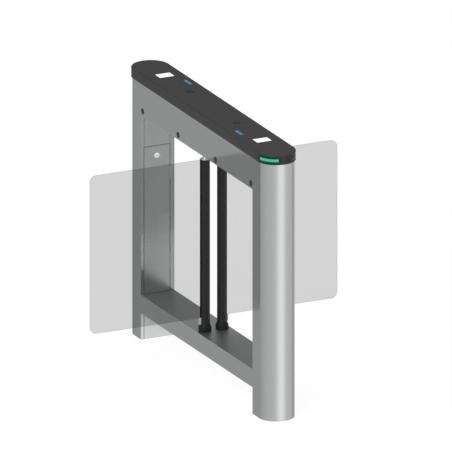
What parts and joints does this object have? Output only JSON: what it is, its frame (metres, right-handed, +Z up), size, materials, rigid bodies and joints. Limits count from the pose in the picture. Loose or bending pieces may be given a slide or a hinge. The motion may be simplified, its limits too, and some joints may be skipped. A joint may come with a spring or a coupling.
{
  "type": "swing turnstile",
  "caption": "Free-standing swing turnstile middle unit: a long round-ended steel cabinet on posts, with a black lid and clear panels that swing on upright poles to either side.",
  "frame": {"origin": "on the floor, under the middle of the cabinet", "axes": "+X along the cabinet to its front end, +Y to its right side, +Z up"},
  "size_m": [1.204, 0.9926, 1.02],
  "materials": {
    "stainless_sheet": "fine brushed grain",
    "plain_steel": "satin, zinc plated",
    "bright_steel": "polished",
    "plain_aluminium": "satin",
    "motor_paint": "satin black",
    "plain_brass": "satin",
    "circuit_board": "satin green",
    "sensor_black": "gloss black",
    "lid_black": "satin top, glossier ends",
    "reader_white": "opal white",
    "reader_case": "matt black",
    "indicator_blue": "lit blue",
    "smoked_lens": "smoked",
    "light_green": "lit green",
    "light_dark": "smoked, unlit",
    "pole_black": "black anodised, satin",
    "clear_glass": "clear, polished edges"
  },
  "bodies": {
    "cabinet": {"left_side_panel": "stainless_sheet", "right_side_panel": "stainless_sheet", "rear_end_shell": "stainless_sheet", "front_end_shell": "stainless_sheet", "upper_beam_soffit": "stainless_sheet", "lower_beam_deck": "stainless_sheet", "lower_beam_floor": "stainless_sheet", "rear_jamb_panel": "stainless_sheet", "front_jamb_panel": "stainless_sheet", "rear_base_plate": "plain_steel", "front_base_plate": "plain_steel", "drive_plate": "plain_aluminium", "motor_bridge": "plain_steel", "left_gear_motor": "motor_paint", "right_gear_motor": "motor_paint", "left_upper_bearing": "bright_steel", "right_upper_bearing": "bright_steel", "left_lower_bearing": "bright_steel", "right_lower_bearing": "bright_steel", "left_brake": "motor_paint", "right_brake": "motor_paint", "control_board": "circuit_board", "board_standoffs": "plain_brass", "power_supply": "plain_aluminium", "photo_sensors": "sensor_black", "drive_screws": "plain_steel", "lid_screws": "plain_steel", "door_hinge_pins": "plain_steel"},
    "lid": {"lid_cover": "lid_black", "rear_reader_window": "reader_white", "front_reader_window": "reader_white", "rear_card_reader": "reader_case", "front_card_reader": "reader_case", "rear_indicator_bar": "indicator_blue", "front_indicator_bar": "indicator_blue", "round_lenses": "smoked_lens", "rear_left_light": "light_dark", "rear_right_light": "light_dark", "front_left_light": "light_green", "front_right_light": "light_dark"},
    "left_barrier": {"left_pole": "pole_black", "left_glass_panel": "clear_glass", "left_support_block": "plain_aluminium", "left_drive_shaft": "bright_steel", "left_drive_gear": "plain_steel", "left_pole_foot": "pole_black"},
    "right_barrier": {"right_pole": "pole_black", "right_glass_panel": "clear_glass", "right_support_block": "plain_aluminium", "right_drive_shaft": "bright_steel", "right_drive_gear": "plain_steel", "right_pole_foot": "pole_black"},
    "left_pinion_set": {"left_pinion": "plain_brass"},
    "right_pinion_set": {"right_pinion": "plain_brass"},
    "rear_door": {"rear_service_door": "stainless_sheet", "rear_door_lock": "bright_steel"},
    "front_door": {"front_service_door": "stainless_sheet", "front_door_lock": "bright_steel"},
    "rear_lock": {"rear_lock_cam": "plain_steel"},
    "front_lock": {"front_lock_cam": "plain_steel"}
  },
  "joints": [
    {"name": "left_swing", "type": "hinge", "parent": "cabinet", "child": "left_barrier", "pos_m": [0, -0.0343, 0.5], "axis": [0, 0, 1], "range_deg": [-90, 90]},
    {"name": "right_swing", "type": "hinge", "parent": "cabinet", "child": "right_barrier", "pos_m": [0, 0.0343, 0.5], "axis": [0, 0, 1], "range_deg": [-90, 90]},
    {"name": "left_pinion_spin", "type": "hinge", "parent": "cabinet", "child": "left_pinion_set", "pos_m": [-0.039, -0.0343, 0.88], "axis": [0, 0, 1], "range_deg": [-205, 205]},
    {"name": "right_pinion_spin", "type": "hinge", "parent": "cabinet", "child": "right_pinion_set", "pos_m": [0.039, 0.0343, 0.88], "axis": [0, 0, 1], "range_deg": [-205, 205]},
    {"name": "rear_door_hinge", "type": "hinge", "parent": "cabinet", "child": "rear_door", "pos_m": [-0.472, 0.049, 0.45], "axis": [0, 0, 1], "range_deg": [0, 105]},
    {"name": "front_door_hinge", "type": "hinge", "parent": "cabinet", "child": "front_door", "pos_m": [0.472, -0.049, 0.45], "axis": [0, 0, 1], "range_deg": [0, 105]},
    {"name": "rear_lock_turn", "type": "hinge", "parent": "rear_door", "child": "rear_lock", "pos_m": [-0.472, -0.00275, 0.696], "axis": [1, 0, 0], "range_deg": [0, 90]},
    {"name": "front_lock_turn", "type": "hinge", "parent": "front_door", "child": "front_lock", "pos_m": [0.472, 0.00275, 0.696], "axis": [-1, 0, 0], "range_deg": [0, 90]},
    {"name": "lid_lift", "type": "slide", "parent": "cabinet", "child": "lid", "axis": [0, 0, 1], "range_m": [0, 0.15]}
  ],
  "couplings": [
    {"joint": "left_pinion_spin", "follows": "left_swing", "ratio": -2.25},
    {"joint": "right_pinion_spin", "follows": "right_swing", "ratio": -2.25}
  ]
}
